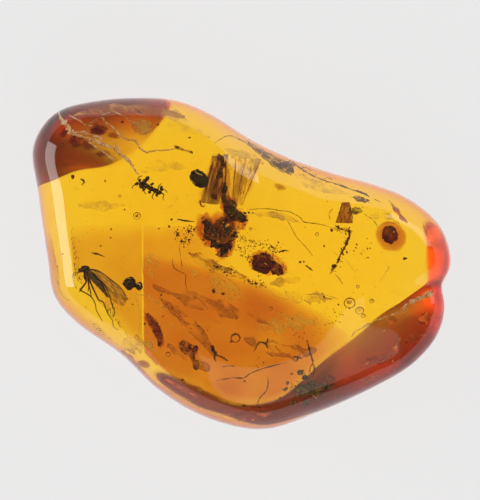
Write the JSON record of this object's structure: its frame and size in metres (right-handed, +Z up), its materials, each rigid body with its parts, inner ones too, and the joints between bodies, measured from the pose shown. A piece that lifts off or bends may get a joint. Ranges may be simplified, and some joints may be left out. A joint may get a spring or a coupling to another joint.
{
  "type": "insect in amber",
  "caption": "Polished amber nugget with a flat back, a fossil display piece with a gnat and plant debris sealed in the clear resin.",
  "frame": {"origin": "middle of the footprint's box, on the flat polished back that the nugget rests on", "axes": "+X along the nugget's length towards the end with the two lobes, +Y across it, +Z up out of the domed top"},
  "size_m": [0.0414, 0.033, 0.0146],
  "materials": {
    "amber": "clear golden fossil resin, hand polished, with a thin reddish oxidised skin towards the rims",
    "insect": "dark chitin of the sealed gnat and insect remains",
    "debris": "dark brown bark, wood crumbs and droppings sealed in the resin",
    "resin_flaw": "cracks, bubbles and denser resin flows inside the nugget"
  },
  "bodies": {
    "root": {"amber": "amber"}
  },
  "joints": []
}
